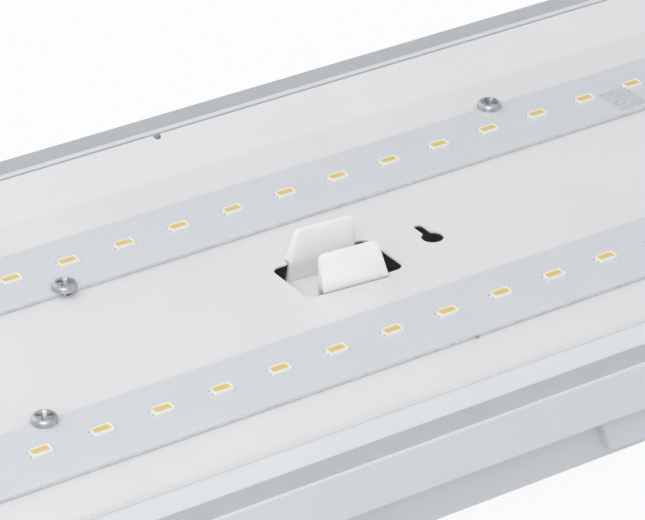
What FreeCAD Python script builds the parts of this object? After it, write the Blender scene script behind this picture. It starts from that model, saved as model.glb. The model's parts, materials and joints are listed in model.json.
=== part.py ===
import FreeCAD, Part
import math
import os
import Sketcher
from FreeCAD import Vector

# Vapour-tight LED batten light, open, lying on its back with the LEDs up.
# X runs along the fitting, Y across it, Z up. The back lies on z = 0, under the middle.

os.makedirs("parts", exist_ok=True)
doc = FreeCAD.newDocument("vapour_tight_light")

# Driving dimensions in millimetres, one alias each.
DIMENSIONS = (
    # moulded housing: section sizes are insets from the skirt's outer face
    ("overall_length", 662.0), ("overall_width", 176.0), ("corner_radius", 40.0),
    ("rim_height", 46.6), ("skirt_height", 13.6), ("skirt_wall", 2.2),
    ("channel_width", 7.6), ("channel_depth", 8.1), ("flange_wall", 2.2),
    ("lip_width", 2.6), ("lip_shoulder", 0.1), ("lip_crest", 2.3), ("lip_land", 0.9),
    ("body_inset", 9.4), ("knee_inset", 11.5), ("knee_height", 14.4),
    ("back_inset", 33.0), ("back_corner", 16.0), ("back_wall", 2.5), ("back_step", 1.0), ("side_wall", 2.6),
    ("rim_round", 0.7), ("lip_round", 0.8), ("crest_round", 0.5),
    ("latch_x", 121.0), ("latch_pad_top", 36.0), ("latch_pad_foot", 24.0),
    ("latch_pad_height", 17.0), ("latch_pad_rise", 2.8), ("latch_pad_root", 2.0), ("latch_pad_round", 1.6),
    ("rib_pitch", 180.0), ("rib_wall", 2.4), ("rib_reach", 14.0),
    ("fixing_spacing", 400.0), ("fixing_hole", 6.0), ("fixing_collar", 14.0), ("fixing_collar_rise", 3.0),
    ("entry_height", 19.0), ("entry_hole", 20.0), ("entry_boss", 27.0), ("entry_face", 3.0),
    ("entry_overhang", 5.0), ("entry_boss_wall", 2.2), ("entry_boss_length", 22.0),
    # rim seal
    ("gasket_height", 7.9), ("gasket_clearance", 0.15), ("gasket_round", 0.5),
    # folded tray
    ("floor_level", 41.5), ("sheet", 0.5), ("tray_end_gap", 25.6), ("tray_clearance", 0.9),
    ("wing_run", 10.4), ("wing_rise", 7.1), ("bend_radius", 5.0),
    ("opening_length", 29.4), ("opening_width", 18.0), ("opening_corner", 2.6), ("opening_shift", 0.4),
    ("keyhole_step", 29.8), ("keyhole_hole", 5.8), ("keyhole_slot", 2.4), ("keyhole_reach", 7.4),
    ("keyhole_flat", 0.03),
    ("edge_notch", 2.4), ("edge_notch_x", 74.0),
    # LED boards
    ("board_end_gap", 12.0), ("board_width", 24.0), ("board_wall", 1.2), ("row_spacing", 73.8),
    ("row_offset", 0.5),
    ("led_pitch", 16.5), ("led_length", 5.6), ("led_width", 3.0), ("led_height", 0.7),
    ("window_length", 4.8), ("window_width", 2.4), ("window_depth", 0.3), ("window_fill", 0.24),
    ("cathode_cut", 0.7),
    ("inner_screw_x", 17.5), ("outer_screw_x", 165.0), ("screw_inset", 1.0), ("notch_clearance", 0.35),
    ("connector_step", 16.5), ("connector_length", 9.0), ("connector_width", 7.0), ("connector_height", 4.2),
    ("connector_bore", 2.6), ("connector_gap", 3.6), ("connector_inset", 0.6), ("connector_bore_depth", 4.0),
    # pan-head screws
    ("screw_thread", 3.5), ("screw_head", 6.6), ("screw_head_height", 1.9), ("screw_dome", 1.4),
    ("recess_width", 1.1), ("recess_span", 4.2), ("recess_depth", 1.1), ("screw_clearance", 0.15),
    ("tray_screw_length", 7.0), ("clip_screw_length", 11.0),
    # tray clips
    ("clip_x", 81.1), ("clip_offset", 1.9), ("clip_turn", -5.0), ("clip_base_height", 34.0),
    ("clip_base_wall", 3.0), ("clip_base_length", 24.0), ("clip_boss", 13.0), ("leg_gap", 13.4),
    ("leg_wall", 1.3), ("leg_foot", 21.4), ("leg_straight_cut", 1.7), ("leg_taper", 3.0), ("leg_rise", 9.8),
    ("leg_tip_wall", 1.0), ("leg_corner", 1.6), ("barb_reach", 1.0), ("barb_face", 0.5),
    # LED driver, hung under the tray
    ("driver_gap", 10.0), ("driver_length", 56.0), ("driver_width", 40.0), ("driver_height", 22.0),
    ("driver_corner", 2.0), ("cover_length", 17.0), ("cover_step", 0.6), ("cover_ear", 8.0),
    ("cover_ear_width", 20.0), ("cover_ear_wall", 3.0), ("cover_bore_depth", 5.0),
    ("vent_count", 6), ("vent_pitch", 8.0), ("vent_width", 2.0), ("vent_depth", 0.8), ("vent_length", 26.0),
    # mains terminal and earth tag, under the tray
    ("terminal_step", 35.0), ("terminal_length", 20.0), ("pole_pitch", 8.0), ("pole_count", 3),
    ("terminal_margin", 1.0), ("terminal_height", 17.0), ("wire_drop", 9.0),
    ("pole_screw", 3.4), ("pole_screw_clearance", 0.3), ("pole_screw_sink", 1.0), ("pole_screw_length", 4.6),
    ("pole_screw_step", 5.0), ("pole_slot", 0.7), ("terminal_foot", 9.0), ("terminal_foot_width", 12.0),
    ("terminal_foot_wall", 3.0),
    ("earth_step", 36.0), ("tag_wall", 0.8), ("tag_ring", 9.0),
    ("tag_barrel", 4.0), ("tag_barrel_start", 6.0), ("tag_barrel_length", 7.0),
    # wires
    ("wire_size", 2.2), ("wire_clearance", 0.2), ("mains_lane", 17.0), ("led_lane", 4.0),
    ("wire_hole", 9.0), ("wire_hole_inset", 6.0),
    # cable entries
    ("grommet_flange", 22.2), ("grommet_lip", 2.0), ("grommet_bore", 8.0), ("grommet_nose", 14.0),
    ("grommet_nose_length", 2.4), ("grommet_nose_taper", 25.0), ("grommet_clearance", 0.15),
)

sheet = doc.addObject("Spreadsheet::Sheet", "Dim")
for line, (alias, value) in enumerate(DIMENSIONS, 1):
    sheet.set(f"A{line}", alias.replace("_", " "))
    sheet.set(f"B{line}", str(value))
    sheet.setAlias(f"B{line}", alias)
doc.recompute()


def number(expression):
    return float(sheet.evalExpression(expression))


# Levels and half sizes that several pieces share.
HALF_LENGTH = "Dim.overall_length / 2"
HALF_WIDTH = "Dim.overall_width / 2"
LIP_INSET = "(Dim.skirt_wall + Dim.channel_width)"
CAVITY_INSET = "(Dim.skirt_wall + Dim.channel_width + Dim.lip_width)"
CHANNEL_FLOOR = "(Dim.rim_height - Dim.channel_depth)"
FLANGE_UNDER = "(Dim.rim_height - Dim.channel_depth - Dim.flange_wall)"
CREST = "(Dim.rim_height + Dim.lip_crest)"
TRAY_UNDER = "(Dim.floor_level - Dim.sheet)"
BOARD_TOP = "(Dim.floor_level + Dim.board_wall)"
TRAY_LENGTH = f"(Dim.overall_length - 2 * ({CAVITY_INSET} + Dim.tray_end_gap))"
LED_COUNT = f"floor(({TRAY_LENGTH} - 2 * Dim.board_end_gap) / Dim.led_pitch)"
BOARD_LENGTH = f"({LED_COUNT} * Dim.led_pitch)"
CONNECTOR_X = f"({BOARD_LENGTH} / 2 - Dim.connector_step)"
KEYHOLE_X = "(Dim.clip_x + Dim.keyhole_step)"
EAR_STEP = "(Dim.driver_length / 2 + Dim.cover_length + Dim.cover_ear / 2)"
DRIVER_X = f"(-{KEYHOLE_X} - Dim.driver_gap - {EAR_STEP})"
DRIVER_FACE = f"({DRIVER_X} - Dim.driver_length / 2 - Dim.cover_length)"
LED_SPAN = f"({DRIVER_FACE} + {CONNECTOR_X})"
TERMINAL_X = f"({TRAY_LENGTH} / 2 - Dim.terminal_step)"
EARTH_X = f"({TERMINAL_X} - Dim.earth_step)"
ROW = "(Dim.row_spacing / 2)"
BOARD_INNER = "(Dim.row_spacing / 2 - Dim.board_width / 2)"
BOARD_OUTER = "(Dim.row_spacing / 2 + Dim.board_width / 2)"
WING_TIP = f"({HALF_WIDTH} - {CAVITY_INSET} - Dim.tray_clearance)"
WING_ANGLE = "atan(Dim.wing_rise / Dim.wing_run)"
CLIP_BASE_TOP = "(Dim.clip_base_height + Dim.clip_base_wall)"
SCREW_HOLE = "(Dim.screw_thread + 2 * Dim.screw_clearance)"
WIRE_BORE = "(Dim.wire_size + 2 * Dim.wire_clearance)"
WIRE_LEVEL = f"({TRAY_UNDER} - Dim.wire_drop)"
ENTRY_X = f"({HALF_LENGTH} - Dim.entry_overhang)"
FOOT_X = f"({TERMINAL_X} + Dim.terminal_length / 2 + Dim.terminal_foot / 2)"
CONNECTOR_FACE = f"({BOARD_INNER} + Dim.connector_inset)"


def signed(sign, expression):
    return expression if sign > 0 else f"-({expression})"


# Board screws sit half outside the board edges, those of the near board turned half round.
def board_screw_places(side):
    inner = f"({BOARD_INNER} + Dim.screw_inset)"
    outer = f"({BOARD_OUTER} - Dim.screw_inset)"
    places = (("Dim.inner_screw_x", inner), ("Dim.outer_screw_x", outer), ("-Dim.outer_screw_x", outer))
    return [(signed(side, x), signed(side, y)) for x, y in places]


DRIVER_SCREWS = [(f"{DRIVER_X} + {end} * {EAR_STEP}", "0") for end in (1, -1)]
CLIP_PLACES = [(signed(end, "Dim.clip_x"), signed(-end, "Dim.clip_offset")) for end in (1, -1)]
CONNECTOR_PLACES = [(end, side) for end in (1, -1) for side in (1, -1)]


# Sketch helpers. Every point is placed by two expressions of the sheet.
def origin_item(body, role):
    return next(item for item in body.Origin.OriginFeatures if item.Role == role)


def add_body(label):
    body = doc.addObject("PartDesign::Body", label)
    body.Label = label
    return body


def add_sketch(body, name, role="XY_Plane", level=None):
    sketch = body.newObject("Sketcher::SketchObject", name)
    sketch.AttachmentSupport = [(origin_item(body, role), "")]
    sketch.MapMode = "FlatFace"
    if level:
        sketch.setExpression("AttachmentOffset.Base.z", level)
    return sketch


def place_along(sketch, kind, geometry, position, expression):
    value = number(expression)
    if abs(value) < 1e-9:
        axis = -2 if kind == "DistanceX" else -1
        sketch.addConstraint(Sketcher.Constraint("PointOnObject", geometry, position, axis))
        return
    ends = (-1, 1, geometry, position) if value > 0 else (geometry, position, -1, 1)
    index = sketch.addConstraint(Sketcher.Constraint(kind, *ends, abs(value)))
    sketch.setExpression(f"Constraints[{index}]", signed(value, expression))


def place_point(sketch, geometry, position, x, y):
    place_along(sketch, "DistanceX", geometry, position, x)
    place_along(sketch, "DistanceY", geometry, position, y)


def draw_polygon(sketch, points):
    corners = [Vector(number(x), number(y), 0) for x, y in points]
    first = sketch.GeometryCount
    count = len(points)
    for index in range(count):
        sketch.addGeometry(Part.LineSegment(corners[index], corners[(index + 1) % count]), False)
    for index in range(count):
        following = first + (index + 1) % count
        sketch.addConstraint(Sketcher.Constraint("Coincident", first + index, 2, following, 1))
    for index, (x, y) in enumerate(points):
        place_point(sketch, first + index, 1, x, y)


def draw_rectangle(sketch, low_x, low_y, high_x, high_y):
    draw_polygon(sketch, ((low_x, low_y), (high_x, low_y), (high_x, high_y), (low_x, high_y)))


def draw_block(sketch, x, y, length, width):
    draw_rectangle(sketch, f"{x} - {length} / 2", f"{y} - {width} / 2",
                   f"{x} + {length} / 2", f"{y} + {width} / 2")


def draw_circle(sketch, x, y, diameter):
    radius = number(diameter) / 2
    index = sketch.addGeometry(Part.Circle(Vector(number(x), number(y), 0), Vector(0, 0, 1), radius), False)
    place_point(sketch, index, 3, x, y)
    size = sketch.addConstraint(Sketcher.Constraint("Diameter", index, 2 * radius))
    sketch.setExpression(f"Constraints[{size}]", diameter)


def draw_rounded(sketch, x, y, half_x, half_y, radius):
    centre = Vector(number(x), number(y), 0)
    bend = number(radius)
    reach_x = number(half_x) - bend
    reach_y = number(half_y) - bend
    first = sketch.GeometryCount
    hubs = [centre + Vector(a * reach_x, b * reach_y, 0) for a, b in ((-1, -1), (1, -1), (1, 1), (-1, 1))]
    for index, hub in enumerate(hubs):
        start = math.pi + index * math.pi / 2
        circle = Part.Circle(hub, Vector(0, 0, 1), bend)
        sketch.addGeometry(Part.ArcOfCircle(circle, start, start + math.pi / 2), False)
    for index, hub in enumerate(hubs):
        turn = (index - 1) * math.pi / 2
        side = Vector(math.cos(turn), math.sin(turn), 0) * bend
        sketch.addGeometry(Part.LineSegment(hub + side, hubs[(index + 1) % 4] + side), False)
    for index in range(4):
        edge = first + 4 + index
        sketch.addConstraint(Sketcher.Constraint("Tangent", first + index, 2, edge, 1))
        sketch.addConstraint(Sketcher.Constraint("Tangent", edge, 2, first + (index + 1) % 4, 1))
        sketch.addConstraint(Sketcher.Constraint("Horizontal" if index % 2 == 0 else "Vertical", edge))
    for index in range(1, 4):
        sketch.addConstraint(Sketcher.Constraint("Equal", first, first + index))
    size = sketch.addConstraint(Sketcher.Constraint("Radius", first, bend))
    sketch.setExpression(f"Constraints[{size}]", radius)
    for index, sign in ((0, -1), (2, 1)):
        place_point(sketch, first + index, 3,
                    f"{x} + {sign} * ({half_x} - ({radius}))", f"{y} + {sign} * ({half_y} - ({radius}))")


def draw_outline(sketch, inset, corner=None):
    draw_rounded(sketch, "0", "0", f"{HALF_LENGTH} - {inset}", f"{HALF_WIDTH} - {inset}",
                 corner or f"Dim.corner_radius - {inset}")


# Feature helpers.
def add_pad(body, name, sketch, length, both_ways=False, backward=False):
    pad = body.newObject("PartDesign::Pad", name)
    pad.Profile = sketch
    pad.setExpression("Length", length)
    pad.SideType = "Symmetric" if both_ways else "One side"
    pad.Reversed = backward
    return pad


def add_pocket(body, name, sketch, depth, both_ways=False, backward=False):
    doc.recompute()
    before = body.Shape.Volume
    pocket = body.newObject("PartDesign::Pocket", name)
    pocket.Profile = sketch
    pocket.setExpression("Length", depth)
    pocket.SideType = "Symmetric" if both_ways else "One side"
    pocket.Reversed = backward
    doc.recompute()
    if body.Shape.Volume >= before - 1e-6:
        raise RuntimeError(f"{name} removes nothing from {body.Label}")
    return pocket


def add_loft(body, kind, name, sketches):
    loft = body.newObject(kind, name)
    loft.Profile = sketches[0]
    loft.Sections = sketches[1:]
    loft.Ruled = True
    return loft


def round_edges(body, name, test, radius):
    doc.recompute()
    base = body.Tip
    names = [f"Edge{index}" for index, edge in enumerate(base.Shape.Edges, 1) if test(edge)]
    if not names:
        raise RuntimeError(f"{name} finds no edge on {body.Label}")
    fillet = body.newObject("PartDesign::Fillet", name)
    fillet.Base = (base, names)
    fillet.setExpression("Radius", radius)
    return fillet


def round_level(body, name, level, radius):
    height = number(level)
    return round_edges(body, name, lambda edge: at_level(edge, height), radius)


def runs_along(edge, axis):
    return isinstance(edge.Curve, Part.Line) and abs(abs(edge.Curve.Direction.dot(axis)) - 1) < 1e-6


def at_level(edge, level):
    box = edge.BoundBox
    return abs(box.ZMin - level) < 1e-4 and abs(box.ZMax - level) < 1e-4


# Housing: a moulded trough with a U-shaped sealing flange round its rim.
def make_housing():
    body = add_body("housing")

    def outline(name, inset, level=None, corner=None):
        sketch = add_sketch(body, name, level=level)
        draw_outline(sketch, inset, corner)
        return sketch

    trough = [outline("back_outline", "Dim.back_inset", corner="Dim.back_corner"),
              outline("knee_outline", "Dim.knee_inset", "Dim.knee_height"),
              outline("neck_outline", "Dim.body_inset", FLANGE_UNDER)]
    add_loft(body, "PartDesign::AdditiveLoft", "trough", trough)
    add_pad(body, "flange", outline("flange_outline", "0", FLANGE_UNDER),
            "Dim.channel_depth + Dim.flange_wall")
    skirt = outline("skirt_outline", "0", "Dim.rim_height - Dim.skirt_height")
    draw_outline(skirt, "Dim.skirt_wall")
    add_pad(body, "skirt", skirt, "Dim.skirt_height - Dim.channel_depth")
    add_pad(body, "lip", outline("lip_outline", LIP_INSET, "Dim.rim_height"), "Dim.lip_shoulder")
    crown = [outline("crown_foot", LIP_INSET, "Dim.rim_height + Dim.lip_shoulder"),
             outline("crown_top", f"({CAVITY_INSET} - Dim.lip_land)", CREST)]
    add_loft(body, "PartDesign::AdditiveLoft", "crown", crown)
    channel = outline("channel_outline", "Dim.skirt_wall", "Dim.rim_height")
    draw_outline(channel, LIP_INSET)
    add_pocket(body, "channel", channel, "Dim.channel_depth")
    cavity = [outline("cavity_back", "(Dim.back_inset + Dim.back_step)", "Dim.back_wall",
                      "Dim.back_corner - Dim.back_step"),
              outline("cavity_knee", "(Dim.knee_inset + Dim.side_wall)", "Dim.knee_height"),
              outline("cavity_neck", CAVITY_INSET, FLANGE_UNDER)]
    add_loft(body, "PartDesign::SubtractiveLoft", "cavity", cavity)
    add_pocket(body, "mouth", outline("mouth_outline", CAVITY_INSET, CREST), f"{CREST} - {FLANGE_UNDER}")
    round_level(body, "crest", CREST, "Dim.crest_round")
    round_level(body, "lip_edge", "Dim.rim_height + Dim.lip_shoulder", "Dim.lip_round")
    round_level(body, "skirt_top", "Dim.rim_height", "Dim.rim_round")
    round_level(body, "skirt_foot", "Dim.rim_height - Dim.skirt_height", "Dim.rim_round")
    add_ribs(body)
    add_clip_bosses(body)
    add_fixings(body)
    add_latch_pads(body)
    add_entries(body)
    return body


# Three pairs of ribs on the side walls carry the tray floor.
def add_ribs(body):
    wall = f"({HALF_WIDTH} - {CAVITY_INSET})"
    seat = f"({wall} - Dim.rib_reach)"
    foot = f"({HALF_WIDTH} - Dim.knee_inset - Dim.side_wall / 2)"
    for place in (-1, 0, 1):
        section = add_sketch(body, f"rib_section_{place + 2}", "YZ_Plane", f"{place} * Dim.rib_pitch")
        for side in (1, -1):
            draw_polygon(section, (
                (signed(side, f"{wall} + Dim.side_wall / 2"), TRAY_UNDER),
                (signed(side, seat), TRAY_UNDER),
                (signed(side, seat), f"{TRAY_UNDER} - 2 * Dim.rib_wall"),
                (signed(side, foot), "Dim.knee_height")))
        add_pad(body, f"ribs_{place + 2}", section, "Dim.rib_wall", both_ways=True)


# A round boss between two webs carries each tray clip.
def add_clip_bosses(body):
    boss = add_sketch(body, "clip_boss_outline", level="Dim.back_wall / 2")
    for x, y in CLIP_PLACES:
        draw_circle(boss, x, y, "Dim.clip_boss")
    add_pad(body, "clip_bosses", boss, "Dim.clip_base_height - Dim.back_wall / 2")
    web = add_sketch(body, "clip_web_outline", level="Dim.back_wall / 2")
    for x, y in CLIP_PLACES:
        draw_block(web, x, y, "Dim.clip_base_length", "Dim.rib_wall")
    add_pad(body, "clip_webs", web, "Dim.clip_base_height - Dim.back_wall / 2")
    hole = add_sketch(body, "clip_screw_holes", level="Dim.clip_base_height")
    for x, y in CLIP_PLACES:
        draw_circle(hole, x, y, SCREW_HOLE)
    add_pocket(body, "clip_pilots", hole, "Dim.clip_screw_length - Dim.clip_base_wall + Dim.screw_clearance")


# Two ceiling fixing holes through the back, each in a raised collar.
def add_fixings(body):
    collar = add_sketch(body, "fixing_collars", level="Dim.back_wall / 2")
    hole = add_sketch(body, "fixing_holes", level="Dim.back_wall + Dim.fixing_collar_rise")
    for end in (1, -1):
        x = signed(end, "Dim.fixing_spacing / 2")
        draw_circle(collar, x, "0", "Dim.fixing_collar")
        draw_circle(hole, x, "0", "Dim.fixing_hole")
    add_pad(body, "collars", collar, "Dim.back_wall / 2 + Dim.fixing_collar_rise")
    add_pocket(body, "fixings", hole, "Dim.back_wall + Dim.fixing_collar_rise")


# Tapered pads under the skirt, where the cover's latches bear.
def add_latch_pads(body):
    start = f"({HALF_WIDTH} - Dim.body_inset - Dim.latch_pad_root)"
    for side in (1, -1):
        face = add_sketch(body, "latch_pads_far" if side > 0 else "latch_pads_near", "XZ_Plane",
                          signed(-side, start))
        for end in (1, -1):
            x = signed(end, "Dim.latch_x")
            foot = f"{FLANGE_UNDER} - Dim.latch_pad_height"
            draw_polygon(face, (
                (f"{x} - Dim.latch_pad_top / 2", FLANGE_UNDER), (f"{x} - Dim.latch_pad_foot / 2", foot),
                (f"{x} + Dim.latch_pad_foot / 2", foot), (f"{x} + Dim.latch_pad_top / 2", FLANGE_UNDER)))
        add_pad(body, "pads_far" if side > 0 else "pads_near", face,
                "Dim.latch_pad_root + Dim.latch_pad_rise", backward=side > 0)
    reach = number(f"{start} + Dim.latch_pad_root + Dim.latch_pad_rise")

    def on_pad_side(edge):
        box = edge.BoundBox
        return box.YLength < 1e-4 and box.ZLength > 1 and abs(abs(box.Center.y) - reach) < 1e-3
    round_edges(body, "pad_sides", on_pad_side, "Dim.latch_pad_round")


# A cable entry in each end wall: a hollow round boss with a flat pierced face.
def add_entries(body):
    for end in (1, -1):
        name = "right" if end > 0 else "left"
        boss = add_sketch(body, f"entry_boss_{name}", "YZ_Plane", signed(end, ENTRY_X))
        draw_circle(boss, "0", "Dim.entry_height", "Dim.entry_boss")
        add_pad(body, f"boss_{name}", boss, "Dim.entry_boss_length", backward=end > 0)
        bore = add_sketch(body, f"entry_bore_{name}", "YZ_Plane", signed(end, f"{ENTRY_X} - Dim.entry_face"))
        draw_circle(bore, "0", "Dim.entry_height", "Dim.entry_boss - 2 * Dim.entry_boss_wall")
        add_pocket(body, f"bore_{name}", bore, "Dim.entry_boss_length", backward=end < 0)
        hole = add_sketch(body, f"entry_hole_{name}", "YZ_Plane", signed(end, ENTRY_X))
        draw_circle(hole, "0", "Dim.entry_height", "Dim.entry_hole")
        add_pocket(body, f"hole_{name}", hole, "2 * Dim.entry_face", backward=end < 0)


# Soft seal lying in the rim channel.
def make_gasket():
    body = add_body("rim_gasket")
    ring = add_sketch(body, "ring", level=CHANNEL_FLOOR)
    draw_outline(ring, "(Dim.skirt_wall + Dim.gasket_clearance)")
    draw_outline(ring, f"({LIP_INSET} - Dim.gasket_clearance)")
    add_pad(body, "seal", ring, "Dim.gasket_height")
    round_level(body, "crown", f"{CHANNEL_FLOOR} + Dim.gasket_height", "Dim.gasket_round")
    return body


# Gear tray: one folded sheet, flat floor between two raised wings.
def make_tray():
    body = add_body("gear_tray")
    profile = add_sketch(body, "profile", "YZ_Plane")
    knee = f"({WING_TIP} - Dim.wing_run)"
    under_knee = f"({knee} + Dim.sheet * tan({WING_ANGLE} / 2))"
    under_tip = f"({WING_TIP} + Dim.sheet * sin({WING_ANGLE}))"
    tip_top = "(Dim.floor_level + Dim.wing_rise)"
    tip_under = f"({tip_top} - Dim.sheet * cos({WING_ANGLE}))"
    upper = ((WING_TIP, tip_top), (knee, "Dim.floor_level"))
    lower = ((under_knee, TRAY_UNDER), (under_tip, tip_under))
    draw_polygon(profile, (
        *upper, *((signed(-1, y), z) for y, z in reversed(upper)),
        *((signed(-1, y), z) for y, z in reversed(lower)), *lower))
    add_pad(body, "folded_sheet", profile, TRAY_LENGTH, both_ways=True)
    for name, y, level, radius in (
            ("inner_bends", knee, "Dim.floor_level", "Dim.bend_radius"),
            ("outer_bends", under_knee, TRAY_UNDER, "Dim.bend_radius + Dim.sheet")):
        reach = number(y)
        height = number(level)

        def on_bend(edge):
            if not runs_along(edge, Vector(1, 0, 0)) or not at_level(edge, height):
                return False
            return abs(abs(edge.BoundBox.Center.y) - reach) < 1e-3
        round_edges(body, name, on_bend, radius)
    cut_tray(body)
    return body


def cut_tray(body):
    holes = add_sketch(body, "tray_holes", level="Dim.floor_level + Dim.sheet")
    slots = add_sketch(body, "keyhole_slots", level="Dim.floor_level + Dim.sheet")
    notches = add_sketch(body, "edge_notches", level="Dim.floor_level + 2 * Dim.wing_rise")
    for end, (x, y) in zip((1, -1), CLIP_PLACES):
        draw_rounded(holes, f"{x} + {end} * Dim.opening_shift", y, "Dim.opening_length / 2",
                     "Dim.opening_width / 2", "Dim.opening_corner")
        key_x = signed(end, KEYHOLE_X)
        draw_circle(holes, key_x, y, "Dim.keyhole_hole")
        draw_rounded(slots, key_x, f"{y} + {end} * Dim.keyhole_reach / 2", "Dim.keyhole_slot / 2",
                     "Dim.keyhole_reach / 2", "(Dim.keyhole_slot / 2 - Dim.keyhole_flat)")
        draw_circle(notches, signed(end, "Dim.edge_notch_x"), signed(end, WING_TIP), "Dim.edge_notch")
    for x, y in (*board_screw_places(1), *board_screw_places(-1), *DRIVER_SCREWS,
                 (EARTH_X, "0"), (FOOT_X, "0")):
        draw_circle(holes, x, y, SCREW_HOLE)
    for end, side in CONNECTOR_PLACES:
        draw_circle(holes, signed(end, CONNECTOR_X),
                    signed(side, f"({BOARD_INNER} - Dim.wire_hole_inset)"), "Dim.wire_hole")
    add_pocket(body, "openings", holes, "3 * Dim.sheet")
    add_pocket(body, "slots", slots, "3 * Dim.sheet")
    add_pocket(body, "notches", notches, "2 * Dim.wing_rise")


# LED boards with half-round notches at their screws.
def make_board(label, side):
    body = add_body(label)
    outline = add_sketch(body, "outline", level="Dim.floor_level")
    draw_block(outline, "0", f"{signed(side, ROW)} - Dim.row_offset", BOARD_LENGTH, "Dim.board_width")
    add_pad(body, "laminate", outline, "Dim.board_wall")
    notches = add_sketch(body, "screw_notches", level=BOARD_TOP)
    for x, y in board_screw_places(side):
        draw_circle(notches, x, y, "Dim.screw_thread + 2 * Dim.notch_clearance")
    add_pocket(body, "notches", notches, "2 * Dim.board_wall")
    return body


def led_row(body, features):
    doc.recompute()
    row = body.newObject("PartDesign::LinearPattern", "row")
    row.Originals = features
    row.Direction = (origin_item(body, "X_Axis"), [""])
    row.Mode = "Extent"
    row.setExpression("Length", f"Dim.led_pitch * ({LED_COUNT} - 1)")
    row.setExpression("Occurrences", LED_COUNT)
    body.Tip = row
    doc.recompute()


FIRST_LED = f"(-Dim.led_pitch * ({LED_COUNT} - 1) / 2)"


# LED packages: a shallow cup with one cut corner, one per pitch.
def make_packages(label, side):
    body = add_body(label)
    y = signed(side, ROW)

    def cup_outline(name, level):
        sketch = add_sketch(body, name, level=level)
        left = f"{FIRST_LED} - Dim.led_length / 2"
        right = f"{FIRST_LED} + Dim.led_length / 2"
        near = f"{y} - Dim.led_width / 2"
        far = f"{y} + Dim.led_width / 2"
        draw_polygon(sketch, ((left, near), (right, near), (right, far), (f"{left} + Dim.cathode_cut", far),
                              (left, f"{far} - Dim.cathode_cut")))
        return sketch

    floor = add_pad(body, "cup_floor", cup_outline("floor_outline", BOARD_TOP),
                    "Dim.led_height - Dim.window_depth")
    rim = cup_outline("rim_outline", f"{BOARD_TOP} + Dim.led_height - Dim.window_depth")
    draw_block(rim, FIRST_LED, y, "Dim.window_length", "Dim.window_width")
    led_row(body, [floor, add_pad(body, "cup_rim", rim, "Dim.window_depth")])
    return body


# Phosphor fill of each cup.
def make_phosphor(label, side):
    body = add_body(label)
    window = add_sketch(body, "window", level=f"{BOARD_TOP} + Dim.led_height - Dim.window_depth")
    draw_block(window, FIRST_LED, signed(side, ROW), "Dim.window_length", "Dim.window_width")
    led_row(body, [add_pad(body, "fill", window, "Dim.window_fill")])
    return body


# Push-in wire connectors on the inner edge of both boards, at both ends.
def make_connectors():
    body = add_body("board_connectors")
    blocks = add_sketch(body, "blocks", level=BOARD_TOP)
    bores = add_sketch(body, "bores", "XZ_Plane")
    for end, side in CONNECTOR_PLACES:
        draw_block(blocks, signed(end, CONNECTOR_X),
                   signed(side, f"({CONNECTOR_FACE} + Dim.connector_width / 2)"),
                   "Dim.connector_length", "Dim.connector_width")
    for end in (1, -1):
        for pole in (1, -1):
            draw_circle(bores, f"{end} * {CONNECTOR_X} + {pole} * Dim.connector_gap / 2",
                        f"{BOARD_TOP} + Dim.connector_height / 2", "Dim.connector_bore")
    add_pad(body, "cases", blocks, "Dim.connector_height")
    add_pocket(body, "wire_bores", bores, f"2 * ({CONNECTOR_FACE} + Dim.connector_bore_depth)", both_ways=True)
    round_level(body, "soft_tops", f"{BOARD_TOP} + Dim.connector_height", "Dim.connector_inset")
    return body


# Pan-head screws with a cross recess, standing on one level.
def make_screws(label, places, seat, length):
    body = add_body(label)
    heads = add_sketch(body, "heads", level=seat)
    shanks = add_sketch(body, "shanks", level=seat)
    recesses = add_sketch(body, "recesses", level=f"{seat} + Dim.screw_head_height")
    for x, y in places:
        draw_circle(heads, x, y, "Dim.screw_head")
        draw_circle(shanks, x, y, "Dim.screw_thread")
        draw_cross(recesses, x, y)
    add_pad(body, "pan_heads", heads, "Dim.screw_head_height")
    round_level(body, "domes", f"{seat} + Dim.screw_head_height", "Dim.screw_dome")
    add_pad(body, "threads", shanks, length, backward=True)
    add_pocket(body, "cross_recesses", recesses, "Dim.recess_depth")
    return body


def draw_cross(sketch, x, y):
    wide = "Dim.recess_span / 2"
    thin = "Dim.recess_width / 2"
    quarter = ((wide, thin, 1, -1), (wide, thin, 1, 1), (thin, thin, 1, 1), (thin, wide, 1, 1),
               (thin, wide, -1, 1), (thin, thin, -1, 1), (wide, thin, -1, 1), (wide, thin, -1, -1),
               (thin, thin, -1, -1), (thin, wide, -1, -1), (thin, wide, 1, -1), (thin, thin, 1, -1))
    draw_polygon(sketch, [(f"{x} + {a} * {dx}", f"{y} + {b} * {dy}") for dx, dy, a, b in quarter])


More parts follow.
